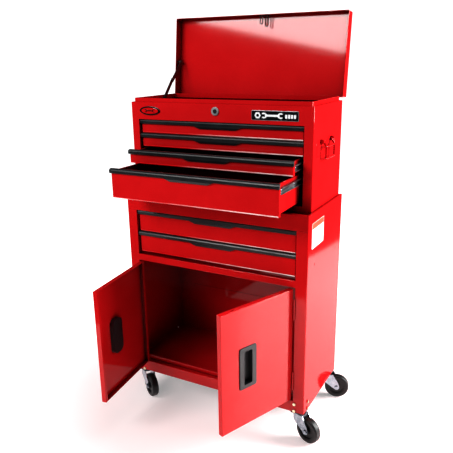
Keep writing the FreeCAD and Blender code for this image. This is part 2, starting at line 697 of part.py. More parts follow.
HOOK_CLEAR = 5.0            # hooks pass this far above the chest's rim


def lid_hooks():
    """Two looped hooks on a bracket inside the lid's front flange."""
    y = CHEST_FRONT_Y + LID_SHEET
    z = RIM_TOP + HOOK_CLEAR
    wire = 1.5
    plate = box(2.0, 40.0, y, y + 1.5, z - 2.5, z + 10)
    out = []
    for x, reach in ((11.0, 22.0), (31.0, 30.0)):
        half = 4.0
        out.append(bent_rod([(x - half, y + 0.5, z), (x - half, y + reach + half, z),
                             (x + half, y + reach + half, z), (x + half, y + 0.5, z)],
                            half - 0.1, wire))
    return fuse([plate] + out)


STAY_LOW_X = -CHEST_HALF + RIM_INSET + SHEET + 1.6
STAY_UP_X = STAY_LOW_X + STAY_T + 0.5


def link(x0, start, end, thickness, holes):
    """Flat bar with round ends between two y, z points."""
    (ya, za), (yb, zb) = start, end
    length = math.hypot(yb - ya, zb - za)
    ny = -(zb - za) / length * STAY_W / 2
    nz = (yb - ya) / length * STAY_W / 2
    bar = prism([(x0, ya + ny, za + nz), (x0, yb + ny, zb + nz),
                 (x0, yb - ny, zb - nz), (x0, ya - ny, za - nz)], (thickness, 0, 0))
    ends = [cyl(STAY_W / 2, (x0, ya, za), (1, 0, 0), thickness),
            cyl(STAY_W / 2, (x0, yb, zb), (1, 0, 0), thickness)]
    shape = fuse([bar] + ends)
    for (y, z), radius in holes:
        shape = shape.cut(cyl(radius, (x0 - 1, y, z), (1, 0, 0), thickness + 2))
    return shape


def stay_parts():
    """Each arm with its own end rivet. The middle pivot is left open: each arm
    carries its own half of that rivet, and the halves meet across a small gap."""
    low = link(STAY_LOW_X, STAY_LOW, STAY_MID, STAY_T, [(STAY_LOW, STAY_PIN_R)])
    low_half = cyl(STAY_PIN_R + 1.5, (STAY_LOW_X - 0.9, *STAY_MID), (1, 0, 0), 1.0)
    low = fuse([low, low_half])
    chest_in = -CHEST_HALF + SHEET
    low_rivet = fuse([
        cyl(STAY_PIN_R, (-CHEST_HALF - 1.0, *STAY_LOW), (1, 0, 0),
            STAY_LOW_X + STAY_T + CHEST_HALF + 1.5),
        cyl(STAY_PIN_R + 2, (-CHEST_HALF - 1.6, *STAY_LOW), (1, 0, 0), 1.2),
        cyl(STAY_PIN_R + 1.5, (chest_in + 0.4, *STAY_LOW), (1, 0, 0),
            STAY_LOW_X - chest_in - 0.4),
        cyl(STAY_PIN_R + 2, (STAY_LOW_X + STAY_T, *STAY_LOW), (1, 0, 0), 0.45)])
    up = link(STAY_UP_X, STAY_MID, STAY_UP, STAY_T, [(STAY_UP, STAY_PIN_R)])
    up_half = cyl(STAY_PIN_R + 1.5, (STAY_UP_X + STAY_T - TINY, *STAY_MID), (1, 0, 0), 1.4)
    up = fuse([up, up_half])
    lid_in = -CHEST_HALF + LID_SHEET
    up_rivet = fuse([
        cyl(STAY_PIN_R, (-CHEST_HALF - 1.0, *STAY_UP), (1, 0, 0),
            STAY_UP_X + STAY_T + CHEST_HALF + 2.0),
        cyl(STAY_PIN_R + 2, (-CHEST_HALF - 1.6, *STAY_UP), (1, 0, 0), 1.2),
        cyl(STAY_PIN_R + 1.5, (lid_in + 0.4, *STAY_UP), (1, 0, 0),
            STAY_UP_X - lid_in - 0.4),
        cyl(STAY_PIN_R + 2, (STAY_UP_X + STAY_T, *STAY_UP), (1, 0, 0), 1.0)])
    return [low, low_rivet], [up, up_rivet]


# ---------------------------------------------------------------------------
# Lock and side handles
# ---------------------------------------------------------------------------
LOCK_BODY_R = 9.0


def lock_parts():
    f = CHEST_FRONT_Y
    body = fuse([cyl(LOCK_R, (0, f - 3.0, LOCK_Z), (0, 1, 0), 3.0),
                 cyl(LOCK_BODY_R, (0, f, LOCK_Z), (0, 1, 0), 18.0),
                 cyl(LOCK_R - 0.5, (0, f + SHEET, LOCK_Z), (0, 1, 0), 2.5)])
    body = body.makeFillet(0.8, [e for e in body.Edges if abs(e.BoundBox.YMin - (f - 3)) < 0.01
                                 and abs(e.BoundBox.YMax - (f - 3)) < 0.01])
    body = body.cut(cyl(PLUG_R + RUNNING_FIT, (0, f - 5, LOCK_Z), (0, 1, 0), 30))
    plug = cyl(PLUG_R, (0, f - 3.4, LOCK_Z), (0, 1, 0), 23.0)
    plug = plug.cut(box(-0.8, 0.8, f - 5, f + 6, LOCK_Z - 4, LOCK_Z + 4))
    cam = fuse([cyl(7.0, (0, f + 18.6, LOCK_Z), (0, 1, 0), 1.8),
                box(0, 20.0, f + 18.6, f + 20.4, LOCK_Z - 5, LOCK_Z + 5)])
    return body, fuse([plug, cam])


def bail():
    """Right-hand carrying handle: bent rod with a cross bar, hung on two pins."""
    x_pin = CHEST_HALF + 4.5
    x_out = CHEST_HALF + BAIL_OUT + 2
    y0 = BAIL_Y - BAIL_SPAN / 2 + BAIL_R
    y1 = BAIL_Y + BAIL_SPAN / 2 - BAIL_R
    top = BAIL_Z - BAIL_SHOULDER
    low = BAIL_Z - BAIL_DROP
    rod = bent_rod([(x_pin, y0 - 6, BAIL_Z), (x_pin, y0 + 3, BAIL_Z), (x_out, y0 + 1, top),
                    (x_out, y0, low), (x_out, y1, low), (x_out, y1 - 1, top),
                    (x_pin, y1 - 3, BAIL_Z), (x_pin, y1 + 6, BAIL_Z)], BAIL_BEND, BAIL_R - 0.1)
    bar = cyl(BAIL_R - 0.4, (x_out, y0 + 1, top - 1), (0, 1, 0), y1 - y0 - 2)
    pins = [cyl(BAIL_R, (x_pin, y, BAIL_Z), (0, s, 0), 11.0) for y, s in ((y0, -1), (y1, 1))]
    return fuse([rod, bar] + pins)


def bail_lugs():
    """Two pierced lugs on the right-hand wall that hold the handle."""
    out = []
    for s in (-1, 1):
        ya = BAIL_Y + s * (BAIL_SPAN / 2 + 0.6)
        yb = ya + s * 7.5
        lug = box(CHEST_HALF, CHEST_HALF + 10, min(ya, yb), max(ya, yb), BAIL_Z - 6, BAIL_Z + 6)
        lug = round_edges(lug, 4.0, lambda m, d: along(d, "y") and m.x > CHEST_HALF + 9)
        out.append(lug.cut(cyl(BAIL_R + RUNNING_FIT,
                               (CHEST_HALF + 4.5, BAIL_Y + s * BAIL_SPAN / 4, BAIL_Z),
                               (0, s, 0), BAIL_SPAN)))
    return out


# ---------------------------------------------------------------------------
# Doors
# ---------------------------------------------------------------------------
HINGE_X = OPEN_HALF - DOOR_SIDE_GAP / 2
HINGE_Y = CAB_FRONT_Y - HINGE_FORWARD
DOOR_EDGE_X = OPEN_HALF - DOOR_SIDE_GAP
DOOR_FREE_X = DOOR_MEET_GAP / 2


def door_shut():
    """Right door, shut: folded pan with inner lips and its hinge knuckles."""
    y0 = CAB_FRONT_Y
    y1 = CAB_FRONT_Y + DOOR_T
    slab = box(DOOR_FREE_X, DOOR_EDGE_X, y0, y1, DOOR_BOTTOM, DOOR_TOP)
    slab = round_edges(slab, 1.6, lambda m, d: m.y < y0 + 0.1)
    door = pan(slab, DOOR_SHEET, "y1")
    lips = [box(DOOR_FREE_X, DOOR_FREE_X + DOOR_LIP, y1 - DOOR_SHEET, y1,
                DOOR_BOTTOM, DOOR_TOP),
            box(DOOR_EDGE_X - DOOR_LIP, DOOR_EDGE_X, y1 - DOOR_SHEET, y1,
                DOOR_BOTTOM, DOOR_TOP)]
    door = fuse([door] + lips)
    px = HINGE_X - PULL_CENTRE_IN
    hole = box(px - CUP_W / 2 - 0.3, px + CUP_W / 2 + 0.3, y0 - 1, y0 + 4,
               PULL_CENTRE_Z - CUP_H / 2 - 0.3, PULL_CENTRE_Z + CUP_H / 2 + 0.3)
    door = door.cut(round_edges(hole, CUP_CORNER, lambda m, d: along(d, "y")))
    door = door.cut(box(DOOR_FREE_X + 40, DOOR_FREE_X + 55, y0 + 6, y0 + 9.5,
                        DOOR_TOP - 4, DOOR_TOP + 1))
    pieces = [door]
    for z0, z1 in HINGE_SPANS:
        third = (z1 - z0) / 3
        pieces.append(box(DOOR_EDGE_X - TINY, DOOR_EDGE_X + LEAF_T - 0.1, y0 + 1.8,
                          y1 - 2, z0, z1))
        za, zb = z0 + third + 0.3, z1 - third - 0.3
        pieces.append(box(DOOR_EDGE_X - TINY, DOOR_EDGE_X + LEAF_T - 0.1, HINGE_Y, y0 + 2,
                          za, zb))
        pieces.append(cyl(KNUCKLE_R, (HINGE_X, HINGE_Y, za), (0, 0, 1), zb - za))
    door = fuse(pieces)
    for z0, z1 in HINGE_SPANS:
        door = door.cut(cyl(HINGE_PIN_R + RUNNING_FIT, (HINGE_X, HINGE_Y, z0 - 1),
                            (0, 0, 1), z1 - z0 + 2))
    return door


def door_hinges():
    """Fixed knuckles, leaves and pins on the right post."""
    out = []
    for z0, z1 in HINGE_SPANS:
        third = (z1 - z0) / 3
        leaf = [box(OPEN_HALF - LEAF_T + 0.1, OPEN_HALF, CAB_FRONT_Y + 0.4,
                    CAB_FRONT_Y + DOOR_T - 2, z0, z1)]
        for za, zb in ((z0, z0 + third), (z1 - third, z1)):
            leaf.append(box(OPEN_HALF - LEAF_T + 0.1, OPEN_HALF - TINY, HINGE_Y,
                            CAB_FRONT_Y + 1, za, zb))
            leaf.append(cyl(KNUCKLE_R, (HINGE_X, HINGE_Y, za), (0, 0, 1), zb - za))
        leaf = fuse(leaf).cut(cyl(HINGE_PIN_R, (HINGE_X, HINGE_Y, z0 - 1), (0, 0, 1),
                                  z1 - z0 + 2))
        out += [leaf, cyl(HINGE_PIN_R, (HINGE_X, HINGE_Y, z0 - 1.5), (0, 0, 1),
                          z1 - z0 + 3)]
    return out


def door_pull():
    """Recessed pull of the right door: bezel, cup and finger wall."""
    px = HINGE_X - PULL_CENTRE_IN
    y0 = CAB_FRONT_Y
    bezel = box(px - DOOR_PULL_W / 2, px + DOOR_PULL_W / 2, y0 - 3, y0,
                PULL_CENTRE_Z - DOOR_PULL_H / 2, PULL_CENTRE_Z + DOOR_PULL_H / 2)
    bezel = round_edges(bezel, 6.0, lambda m, d: along(d, "y"))
    bezel = bezel.makeFillet(1.4, [e for e in bezel.Edges if e.BoundBox.YMax < y0 - 2.9])
    cup = box(px - CUP_W / 2, px + CUP_W / 2, y0 - 1, y0 + DOOR_T - 0.5,
              PULL_CENTRE_Z - CUP_H / 2, PULL_CENTRE_Z + CUP_H / 2)
    cup = round_edges(cup, CUP_CORNER, lambda m, d: along(d, "y"))
    room = box(px - 15, px + CUP_W / 2 - CUP_WALL - 7, y0 - 4, y0 + DOOR_T - 0.5 - CUP_WALL,
               PULL_CENTRE_Z - CUP_H / 2 + 5, PULL_CENTRE_Z + CUP_H / 2 - 5)
    room = round_edges(room, 4.0, lambda m, d: along(d, "y"))
    under = box(px - CUP_W / 2 + CUP_WALL + 1, px - 10, y0 + 3, y0 + DOOR_T - 0.5 - CUP_WALL,
                PULL_CENTRE_Z - CUP_H / 2 + 14, PULL_CENTRE_Z + CUP_H / 2 - 14)
    return fuse([bezel, cup]).cut(room.fuse(under))


# ---------------------------------------------------------------------------
# Casters
# ---------------------------------------------------------------------------
RACE_T = 4.0
CROWN_T = 3.0
KING_R = 5.0
AXLE_R = 4.0
LEG_T = 2.4
LEG_GAP = 2.2


def caster(key):
    sx = 1 if key[1] == "r" else -1
    sy = -1 if key[0] == "f" else 1
    cx = sx * (CAB_HALF - CASTER_INSET)
    cy = sy * (CAB_D / 2 - CASTER_INSET)
    plate_top = CAB_BOTTOM
    race_top = plate_top - PLATE_T
    crown_top = race_top - RACE_T - 0.3
    crown_low = crown_top - CROWN_T

    plate = box(cx - PLATE / 2, cx + PLATE / 2, cy - PLATE / 2, cy + PLATE / 2,
                race_top, plate_top)
    plate = round_edges(plate, 5.0, lambda m, d: along(d, "z"))
    race = cyl(17.0, (cx, cy, race_top - RACE_T), (0, 0, 1), RACE_T)
    king = cyl(KING_R, (cx, cy, crown_low - 1.2), (0, 0, 1), plate_top - crown_low + 1.2)
    head = cyl(KING_R + 4, (cx, cy, crown_low - 3.3), (0, 0, 1), 3.0)
    fixed = fuse([plate, race, king, head])

    # fork drawn with its trail along +X, then turned to its heading
    inner = WHEEL_W / 2 + LEG_GAP
    outer = inner + LEG_T
    crown = cyl(21.0, (0, 0, crown_low), (0, 0, 1), CROWN_T)
    crown = crown.common(box(-21, 21, -outer, outer, crown_low - 1, crown_top + 1))
    bridge = box(-6, 16, -outer, outer, crown_low, crown_top)
    leg_plan = [(-10, crown_top), (25, crown_top), (TRAIL + 5, WHEEL_R + 18),
                (TRAIL + 9, WHEEL_R + 4), (TRAIL + 9, WHEEL_R - 3),
                (TRAIL + 5, WHEEL_R - 8), (TRAIL - 1, WHEEL_R - 9),
                (TRAIL - 8, WHEEL_R - 5), (-1, WHEEL_R + 17), (-8, WHEEL_R + 25)]
    legs = []
    for y in (-outer, inner):
        leg = prism([(px, y, pz) for px, pz in leg_plan], (0, LEG_T, 0))
        legs.append(leg)
    fork = fuse([crown, bridge] + legs)
    fork = fork.cut(cyl(KING_R + RUNNING_FIT, (0, 0, crown_low - 1), (0, 0, 1),
                        CROWN_T + 2))
    fork = fork.cut(cyl(AXLE_R, (TRAIL, -outer - 1, WHEEL_R), (0, 1, 0), 2 * outer + 2))
    axle = fuse([cyl(AXLE_R, (TRAIL, -outer - 1, WHEEL_R), (0, 1, 0), 2 * outer + 2),
                 hex_head(7.0, (TRAIL, -outer, WHEEL_R), (0, -1, 0), 3.6),
                 hex_head(7.0, (TRAIL, outer, WHEEL_R), (0, 1, 0), 4.6)])

    tyre = cyl(WHEEL_R, (TRAIL, -WHEEL_W / 2, WHEEL_R), (0, 1, 0), WHEEL_W)
    tyre = tyre.makeFillet(6.0, [e for e in tyre.Edges if len(e.Vertexes) == 1])
    rim_r = WHEEL_R * 0.70
    tyre = tyre.cut(cyl(rim_r, (TRAIL, -WHEEL_W, WHEEL_R), (0, 1, 0), 2 * WHEEL_W))
    hub = cyl(rim_r, (TRAIL, -WHEEL_W / 2 + 1.5, WHEEL_R), (0, 1, 0), WHEEL_W - 3)
    boss = cyl(9.0, (TRAIL, -WHEEL_W / 2 - 1.4, WHEEL_R), (0, 1, 0), WHEEL_W + 2.8)
    for y in (-WHEEL_W / 2 - 2, WHEEL_W / 2 - 5):
        ring = cyl(rim_r - 3.5, (TRAIL, y, WHEEL_R), (0, 1, 0), 7)
        hub = hub.cut(ring.cut(cyl(12.0, (TRAIL, y - 1, WHEEL_R), (0, 1, 0), 9)))
    hub = fuse([hub, boss])
    hub = hub.cut(cyl(AXLE_R + RUNNING_FIT, (TRAIL, -WHEEL_W, WHEEL_R), (0, 1, 0),
                      2 * WHEEL_W))
    moving = []
    for shape in (fork, axle, tyre, hub):
        shape = turned(shape, (0, 0, 0), (0, 0, 1), HEADINGS[key])
        shape.translate(V(cx, cy, 0))
        moving.append(shape)
    save("caster_" + key + "_fork", moving[:2])
    save("caster_" + key + "_wheel", moving[2:])
    return fixed


# ---------------------------------------------------------------------------
# Write every node
# ---------------------------------------------------------------------------
right_side = ear_notch(cabinet_side())
save("cabinet_right_side", right_side)
save("cabinet_left_side", mirror_x(right_side))
save("cabinet_rails", cabinet_rails())
save("cabinet_back", cabinet_back())
save("cabinet_floor", cabinet_floor())
save("cabinet_deck", cabinet_deck())
save("cabinet_bolts", cabinet_bolts())
save("caster_plates", [caster(key) for key in HEADINGS])

save("chest_shell", chest_shell())
save("chest_floor", chest_floor())
save("chest_till", chest_till())
save("slide_channels", build_drawers() + slide_uprights())

save("lid", opened(lid()))
fixed_leaf, moving_leaf, lid_pin = lid_hinge()
save("lid_hinge_fixed", [fixed_leaf, lid_pin])
save("lid_hinge_moving", opened(moving_leaf))
save("lid_hooks", opened(lid_hooks()))
lower_arm, upper_arm = stay_parts()
save("stay_lower_arm", lower_arm)
save("stay_upper_arm", upper_arm)

barrel, plug = lock_parts()
save("lock_barrel", barrel)
save("lock_plug", plug)
handle = bail()
right_lugs = bail_lugs()
save("bail_lugs", right_lugs + [mirror_x(lug) for lug in right_lugs])
save("bail_right", handle)
save("bail_left", mirror_x(handle))

door = door_shut()
pull = door_pull()
hinges = door_hinges()
for name, sign, angle in (("door_right", 1, DOOR_R_OPEN), ("door_left", -1, DOOR_L_OPEN)):
    for suffix, shape in (("", door), ("_pull", pull)):
        shape = shape if sign > 0 else mirror_x(shape)
        save(name + suffix, turned(shape, (sign * HINGE_X, HINGE_Y, 0), (0, 0, 1),
                                   sign * angle))
save("door_hinge_pins", hinges + [mirror_x(h) for h in hinges])
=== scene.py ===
# %% [markdown]
# # A rolling tool chest, dressed for the studio
# The steel parts of the chest come ready made: cabinet, chest, lid, drawers,
# doors, slides and casters are all loaded as a fixed frame. This lesson gives
# them their real finishes, adds the small things that sit on the sheet metal,
# and lights the result like a catalogue picture. A maker would paint and plate
# the parts in the same order.

# %% Load the frame
import json
import math
import bmesh
import bpy
from mathutils import Matrix, Vector


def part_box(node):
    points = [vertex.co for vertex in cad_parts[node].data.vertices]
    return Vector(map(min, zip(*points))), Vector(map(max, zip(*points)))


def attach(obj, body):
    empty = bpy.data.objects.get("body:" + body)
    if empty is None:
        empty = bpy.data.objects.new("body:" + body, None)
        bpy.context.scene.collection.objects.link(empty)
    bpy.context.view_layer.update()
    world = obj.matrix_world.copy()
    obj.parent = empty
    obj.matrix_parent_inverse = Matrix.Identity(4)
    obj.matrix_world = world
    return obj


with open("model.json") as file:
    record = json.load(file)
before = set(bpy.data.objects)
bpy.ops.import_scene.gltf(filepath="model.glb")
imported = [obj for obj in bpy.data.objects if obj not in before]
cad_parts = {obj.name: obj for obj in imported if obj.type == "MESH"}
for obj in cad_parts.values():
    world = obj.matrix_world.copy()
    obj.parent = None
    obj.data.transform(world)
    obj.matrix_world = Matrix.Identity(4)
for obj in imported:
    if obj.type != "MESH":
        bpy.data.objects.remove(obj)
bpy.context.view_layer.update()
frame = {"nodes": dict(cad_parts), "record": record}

nodes = frame["nodes"]
MM = 0.001

# %% [markdown]
# ## Camera
# A catalogue picture of furniture is taken from standing height with a mild
# tele lens, a little to one side. The turn, tilt and roll are kept as three
# angles, because they are easier to adjust by eye than a matrix is.

# %% Camera
CAMERA_PLACE = Vector((0.8139, -1.5588, 1.1307))
CAMERA_TURN = math.radians(28.34)
CAMERA_TILT = math.radians(-16.52)
CAMERA_ROLL = math.radians(-0.86)
SENSOR_MM = 36.0
LENS_MM = 45.09


def camera_axes(turn, tilt, roll):
    """Right, up and forward directions for the three angles."""
    ahead = Vector((-math.sin(turn) * math.cos(tilt), math.cos(turn) * math.cos(tilt),
                    math.sin(tilt)))
    right = ahead.cross(Vector((0, 0, 1))).normalized()
    up = right.cross(ahead)
    c, s = math.cos(roll), math.sin(roll)
    return right * c + up * s, up * c - right * s, ahead


right, up, ahead = camera_axes(CAMERA_TURN, CAMERA_TILT, CAMERA_ROLL)
lens = bpy.data.cameras.new("camera")
lens.sensor_width = SENSOR_MM
lens.lens = LENS_MM
camera = bpy.data.objects.new("camera", lens)
camera.matrix_world = Matrix.Translation(CAMERA_PLACE) @ Matrix(
    (right, up, -ahead)).transposed().to_4x4()
bpy.context.scene.collection.objects.link(camera)
bpy.context.scene.camera = camera
print("camera", [round(v, 3) for v in camera.matrix_world.translation])

# %% [markdown]
# ## Two small tools for finishes
# Paint charts give colours as sRGB hex, while shaders mix light in linear
# numbers, so one function converts. A second one adds a node, sets it and
# links it, so that each finish below reads as a short recipe.


# %% Finish tools
def linear(hex_colour):
    """sRGB hex to the linear RGBA that a shader wants."""
    out = []
    for i in (0, 2, 4):
        c = int(hex_colour[i:i + 2], 16) / 255
        out.append(c / 12.92 if c <= 0.04045 else ((c + 0.055) / 1.055) ** 2.4)
    return (*out, 1.0)


def add(tree, kind, sockets=None, **settings):
    """One node: settings are its properties, sockets take values or outputs."""
    n = tree.nodes.new(kind)
    for name, value in settings.items():
        setattr(n, name, value)
    for name, value in (sockets or {}).items():
        if isinstance(value, bpy.types.NodeSocket):
            tree.links.new(value, n.inputs[name])
        else:
            n.inputs[name].default_value = value
    return n


def start_finish(name, **sockets):
    """A material with one shader; returns it with its tree, shader and place."""
    m = bpy.data.materials.new(name)
    m.use_nodes = True
    tree = m.node_tree
    tree.nodes.clear()
    shader = add(tree, "ShaderNodeBsdfPrincipled", {
        k.replace("_", " "): v for k, v in sockets.items()})
    out = add(tree, "ShaderNodeOutputMaterial")
    tree.links.new(shader.outputs["BSDF"], out.inputs["Surface"])
    place = add(tree, "ShaderNodeTexCoord").outputs["Object"]
    return m, tree, shader, place


def ripple(tree, place, size_mm, detail=2.0, stretch=(1, 1, 1)):
    """Noise whose blobs are about size_mm across, stretched along an axis."""
    scaled = add(tree, "ShaderNodeVectorMath", {0: place, 1: Vector(stretch) / (size_mm * MM)},
                 operation="MULTIPLY").outputs[0]
    return add(tree, "ShaderNodeTexNoise", {"Vector": scaled, "Scale": 1.0,
                                            "Detail": detail}).outputs["Fac"]


def spread(tree, value, low, high, start=0.3, end=0.7):
    """Map a noise value from start..end onto low..high."""
    return add(tree, "ShaderNodeMapRange", {"Value": value, "From Min": start, "From Max": end,
                                            "To Min": low, "To Max": high}).outputs[0]


def blend_colours(tree, factor, first, second):
    return add(tree, "ShaderNodeMix", {0: factor, 6: linear(first), 7: linear(second)},
               data_type="RGBA").outputs[2]


def connect(tree, output, shader, socket):
    tree.links.new(output, shader.inputs[socket])


def roughen(tree, shader, height, depth_mm, strength=1.0):
    bump = add(tree, "ShaderNodeBump", {"Height": height, "Distance": depth_mm * MM,
                                        "Strength": strength})
    connect(tree, bump.outputs[0], shader, "Normal")


print("red check", [round(c, 3) for c in linear("C80010")])

# %% [markdown]
# ## Baked enamel on sheet steel
# The chest is folded from 1 mm sheet and sprayed with gloss enamel, then baked.
# That gives a deep saturated red under a clear mirror-like skin. The skin is not
# quite flat: sprayed enamel dries with orange peel, low bumps a few millimetres
# across. Handling leaves patches where the gloss is a little softer. A coat
# layer over a soft base is the closest match to colour under a clear skin.
# Inside boxes, recesses and half-closed spaces an ambient occlusion node pulls the
# colour towards a near-black red: this dark colour is painted shade.

# %% Red enamel
PEEL_MM = 4.5
HANDLING_MM = 90.0
SHADE_REACH_MM = 380.0
SHADE_DARKEST_AT, SHADE_GONE_AT = 0.16, 0.66
# Near-black red used as painted shade in recesses.
PAINTED_SHADE_RED = "260002"


def enamel(name, deep, light, gloss):
    m, tree, shader, place = start_finish(
        name, IOR=1.5, Coat_Weight=0.6, Coat_Roughness=gloss, Coat_IOR=1.5,
        Specular_IOR_Level=0.0)
    patches = ripple(tree, place, HANDLING_MM, 4.0)
    fine = ripple(tree, place, 1.2, 2.0)
    tint = add(tree, "ShaderNodeMath", {0: patches, 1: fine}, operation="MULTIPLY").outputs[0]
    sprayed = blend_colours(tree, spread(tree, tint, 0.0, 1.0, 0.1, 0.45), deep, light)
    # Painted shade: the less open air around a point, the darker and nearer to black red it is.
    ao_openness = add(tree, "ShaderNodeAmbientOcclusion", {"Distance": SHADE_REACH_MM * MM},
                   samples=8).outputs["AO"]
    unshaded_share = spread(tree, ao_openness, 0.0, 1.0, SHADE_DARKEST_AT, SHADE_GONE_AT)
    colour = add(tree, "ShaderNodeMix", {0: unshaded_share, 6: linear(PAINTED_SHADE_RED), 7: sprayed},
                 data_type="RGBA").outputs[2]
    connect(tree, colour, shader, "Base Color")
    connect(tree, spread(tree, patches, 0.28, 0.42), shader, "Roughness")
    peel = ripple(tree, place, PEEL_MM, 1.0)
    roughen(tree, shader, peel, 0.02, 0.35)
    return m


red_enamel = enamel("baked_red_enamel", "BC1216", "C8181C", 0.07)
print("made", red_enamel.name)

# %% [markdown]
# ## Moulded black plastic
# The drawer pulls and door cups are moulded ABS. The mould is lightly eroded, so
# the skin has a fine even grain that spreads highlights. Years of hands polish
# it slowly, which is why the roughness wanders a little.

# %% Black pulls
GRAIN_MM = 0.9

pull_plastic, tree, shader, place = start_finish("moulded_abs_slate", IOR=1.53,
                                                 Specular_IOR_Level=0.5)
wander = ripple(tree, place, 40.0, 3.0)
connect(tree, blend_colours(tree, wander, "0A0D0E", "141B1E"), shader, "Base Color")
connect(tree, spread(tree, wander, 0.32, 0.46), shader, "Roughness")
roughen(tree, shader, ripple(tree, place, GRAIN_MM, 2.0), 0.06, 0.5)
print("made", pull_plastic.name)

# %% [markdown]
# ## Plated steels
# Five bare metal finishes are used. Slides are cold-rolled strip with a dull
# zinc flash and rolling lines along their length. Caster forks are pressed and
# then bright zinc plated, which is bluer and smoother with cloudy patches. The
# bolts are passivated to a pale yellow. The lock ring and the name plate's edge
# are brushed, and the key plug is chromed. A metal keeps its default IOR, and
# only its colour, roughness and bump tell these apart.

# %% Slide steel, zinc and chrome
ROLLING_LINE_MM = 1.6
CLOUD_MM = 14.0


def plated(name, dark, light, rough_low, rough_high, cloud_mm, stretch, bump_mm):
    m, tree, shader, place = start_finish(name, Metallic=1.0)
    cloud = ripple(tree, place, cloud_mm, 4.0)
    lines = ripple(tree, place, ROLLING_LINE_MM, 2.0, stretch)
    both = add(tree, "ShaderNodeMath", {0: cloud, 1: lines}, operation="ADD").outputs[0]
    connect(tree, blend_colours(tree, spread(tree, both, 0.0, 1.0, 0.7, 1.3), dark, light),
            shader, "Base Color")
    connect(tree, spread(tree, both, rough_low, rough_high, 0.7, 1.3), shader, "Roughness")
    roughen(tree, shader, lines, bump_mm, 0.4)
    return m


slide_steel = plated("rolled_zinc_flash_strip", "4C4E50", "8C8F92", 0.28, 0.45, 30.0,
                     (1.0, 0.03, 1.0), 0.02)
fork_zinc = plated("bright_zinc_plate", "8E9AA6", "C8D2DA", 0.18, 0.34, CLOUD_MM,
                   (1.0, 1.0, 1.0), 0.01)
bolt_zinc = plated("yellow_zinc_bolt", "C9B98E", "F2E9CF", 0.22, 0.38, 6.0,
                   (1.0, 1.0, 1.0), 0.02)
brushed_alloy = plated("brushed_aluminium", "8F9296", "C4C6C9", 0.34, 0.5, 20.0,
                       (0.05, 1.0, 1.0), 0.01)
trim_chrome = plated("polished_chrome", "B9BCC2", "DDE0E4", 0.06, 0.14, 20.0,
                     (1.0, 1.0, 1.0), 0.004)
print("made", [m.name for m in (slide_steel, fork_zinc, bolt_zinc, trim_chrome)])

# %% [markdown]
# ## Wheel tread and dark lacquer
# The wheels are moulded polypropylene with a black tyre, matt and slightly
# dusty. The lid stay, the lid hinge and the wire hooks are steel with a thin
# dark lacquer.

# %% Wheel and lacquer
DUST_MM = 9.0


def dark_skin(name, deep, light, rough_low, rough_high, grain_mm, depth_mm):
    m, tree, shader, place = start_finish(name, IOR=1.5)
    dust = ripple(tree, place, DUST_MM, 4.0)
    connect(tree, blend_colours(tree, spread(tree, dust, 0.0, 1.0), deep, light), shader,
            "Base Color")
    connect(tree, spread(tree, dust, rough_low, rough_high), shader, "Roughness")
    roughen(tree, shader, ripple(tree, place, grain_mm, 2.0), depth_mm, 0.5)
    return m


wheel_rubber = dark_skin("moulded_wheel_black", "030405", "0B0E10", 0.38, 0.55, 0.8, 0.05)
dark_lacquer = dark_skin("dark_steel_lacquer", "120E0E", "2A2524", 0.25, 0.4, 1.5, 0.02)
print("made", wheel_rubber.name, dark_lacquer.name)

# %% [markdown]
# ## Which part gets which finish
# The record already says what every part is made of. A few parts differ from
# the rest of their slot and are named one by one: the yellow bolts, the dark
# hooks and hinge, and the brushed lock ring. Every material slot of a part is
# filled, so nothing keeps a plain colour.

# %% Dress the parts
BY_SLOT = {"red_enamel": red_enamel, "black_pull": pull_plastic, "slide_steel": slide_steel,
           "zinc_steel": fork_zinc, "chrome_trim": trim_chrome,
           "wheel_black": wheel_rubber, "dark_steel": dark_lacquer}
BY_NODE = {"cabinet_bolts": bolt_zinc, "lid_hooks": dark_lacquer, "lock_barrel": brushed_alloy,
           "lid_hinge_fixed": dark_lacquer, "lid_hinge_moving": dark_lacquer}

for part in frame["record"]["subparts"]:
    piece = nodes[part["node"]]
    finish = BY_NODE.get(part["node"], BY_SLOT[part["material_slot"]])
    if not piece.material_slots:
        piece.data.materials.append(finish)
    for place_slot in piece.material_slots:
        place_slot.material = finish

# %% [markdown]
# ## Flat trim pieces
# A name plate, an oval badge and a paper label are thin pieces on the sheet.
# Each is drawn as an outline on the plane it lies on and given its thickness
# and a rounded edge in mesh code. One helper does it, and a frame of three
# directions says how the outline lies in space.


# %% Plate helper
def link_piece(name, mesh, finish, body):
    piece = bpy.data.objects.new(name, mesh)
    bpy.context.scene.collection.objects.link(piece)
    mesh.materials.clear()
    mesh.materials.append(finish)
    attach(piece, body)
    return piece


def plate_mesh(name, outline, thick, edge, origin, across, rise, out):
    """Raised plate: outline in metres on across and rise, thick along out."""
    mesh = bpy.data.meshes.new(name)
    bm = bmesh.new()
    base = [bm.verts.new(origin + across * x + rise * y) for x, y in outline]
    face = bm.faces.new(base)
    grown = bmesh.ops.extrude_face_region(bm, geom=[face])["geom"]
    top = [g for g in grown if isinstance(g, bmesh.types.BMVert)]
    bmesh.ops.translate(bm, verts=top, vec=out * thick)
    rim = [e for e in bm.edges if all(v in top for v in e.verts)]
    bmesh.ops.bevel(bm, geom=rim, offset=edge, segments=2, affect="EDGES", profile=0.6)
    bmesh.ops.recalc_face_normals(bm, faces=bm.faces)
    bm.to_mesh(mesh)
    bm.free()
    return mesh


def oblong(width, height, radius, steps=6):
    """Outline of a rectangle with rounded corners, centred on zero."""
    pts = []
    for cx, cy, start in ((1, 1, 0), (-1, 1, 90), (-1, -1, 180), (1, -1, 270)):
        for i in range(steps + 1):
            a = math.radians(start + 90 * i / steps)
            pts.append((cx * (width / 2 - radius) + radius * math.cos(a),
                        cy * (height / 2 - radius) + radius * math.sin(a)))
    return pts


def oval(width, height, steps=48):
    return [(width / 2 * math.cos(2 * math.pi * i / steps),
             height / 2 * math.sin(2 * math.pi * i / steps)) for i in range(steps)]


